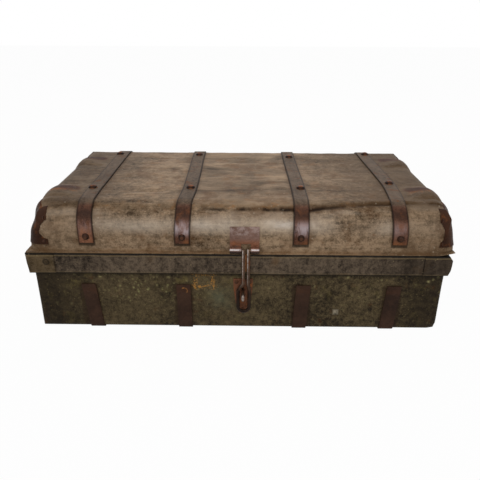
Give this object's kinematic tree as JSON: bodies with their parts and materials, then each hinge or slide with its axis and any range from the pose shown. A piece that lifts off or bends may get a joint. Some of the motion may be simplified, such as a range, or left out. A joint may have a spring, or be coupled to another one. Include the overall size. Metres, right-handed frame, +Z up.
{
  "type": "metal trunk",
  "caption": "Flat-topped steel travel trunk with a deep rim, riveted iron straps, corner plates, back hinges, drop handles and a wire hasp over a staple.",
  "frame": {"origin": "on the ground under the middle of the trunk", "axes": "+X along the trunk's length to the right as seen from the front, +Y to the back, where the hinges are, +Z up"},
  "size_m": [0.775, 0.462, 0.252],
  "materials": {
    "base_paint": "worn dark olive-brown paint on steel sheet, specked with pale spots and rust",
    "lid_paint": "worn warm grey-brown paint on steel sheet, rubbed and stained",
    "rim_paint": "worn dark brown-grey paint on steel band",
    "lid_strap_iron": "reddish-brown rusted flat iron with a dull sheen",
    "base_strap_iron": "nearly black-brown rusted flat iron",
    "corner_iron": "rusted sheet iron",
    "rivet_iron": "rusted iron rivet heads",
    "hasp_plate_iron": "rusted iron plate with a worn sheen",
    "staple_plate_iron": "red-brown rusted sheet iron",
    "dark_iron": "dark iron, burnished where it is handled",
    "hinge_iron": "dark rusted iron"
  },
  "bodies": {
    "base": {"base_sheet": "base_paint", "base_left_end": "base_paint", "base_right_end": "base_paint", "base_top_wire": "dark_iron", "base_strap_1": "base_strap_iron", "base_strap_2": "base_strap_iron", "base_strap_3": "base_strap_iron", "base_strap_4": "base_strap_iron", "base_strap_rivets": "rivet_iron", "staple_plate": "staple_plate_iron", "staple": "dark_iron", "staple_rivets": "rivet_iron", "left_hinge_lower_leaf": "hinge_iron", "right_hinge_lower_leaf": "hinge_iron", "hinge_pins": "dark_iron", "hinge_lower_rivets": "rivet_iron", "left_handle_brackets": "hinge_iron", "right_handle_brackets": "hinge_iron", "handle_rivets": "rivet_iron"},
    "lid": {"lid_sheet": "lid_paint", "lid_left_end": "lid_paint", "lid_right_end": "lid_paint", "rim_front": "rim_paint", "rim_back": "rim_paint", "rim_left": "rim_paint", "rim_right": "rim_paint", "rim_rivets": "rivet_iron", "lid_strap_1": "lid_strap_iron", "lid_strap_2": "lid_strap_iron", "lid_strap_3": "lid_strap_iron", "lid_strap_4": "lid_strap_iron", "lid_strap_rivets": "rivet_iron", "front_left_corner": "corner_iron", "front_right_corner": "corner_iron", "back_left_corner": "corner_iron", "back_right_corner": "corner_iron", "corner_rivets": "rivet_iron", "hasp_plate": "hasp_plate_iron", "hasp_plate_rivets": "hasp_plate_iron", "left_hinge_upper_leaf": "hinge_iron", "right_hinge_upper_leaf": "hinge_iron", "hinge_upper_rivets": "rivet_iron"},
    "hasp": {"hasp_wire": "dark_iron"},
    "left_handle": {"left_handle_bail": "dark_iron"},
    "right_handle": {"right_handle_bail": "dark_iron"}
  },
  "joints": [
    {"name": "lid_hinge", "type": "hinge", "parent": "base", "child": "lid", "pos_m": [0, 0.2221, 0.12], "axis": [-1, 0, 0], "range_deg": [0, 95]},
    {"name": "hasp_swing", "type": "hinge", "parent": "lid", "child": "hasp", "pos_m": [0.0103, -0.21813, 0.168], "axis": [-1, 0, 0], "range_deg": [0, 162]},
    {"name": "left_handle_swing", "type": "hinge", "parent": "base", "child": "left_handle", "pos_m": [-0.3805, 0, 0.092], "axis": [0, 1, 0], "range_deg": [0, 170]},
    {"name": "right_handle_swing", "type": "hinge", "parent": "base", "child": "right_handle", "pos_m": [0.3805, 0, 0.092], "axis": [0, -1, 0], "range_deg": [0, 170]}
  ],
  "couplings": [
    {"joint": "hasp_swing", "follows": "lid_hinge", "ratio": 1.7}
  ]
}
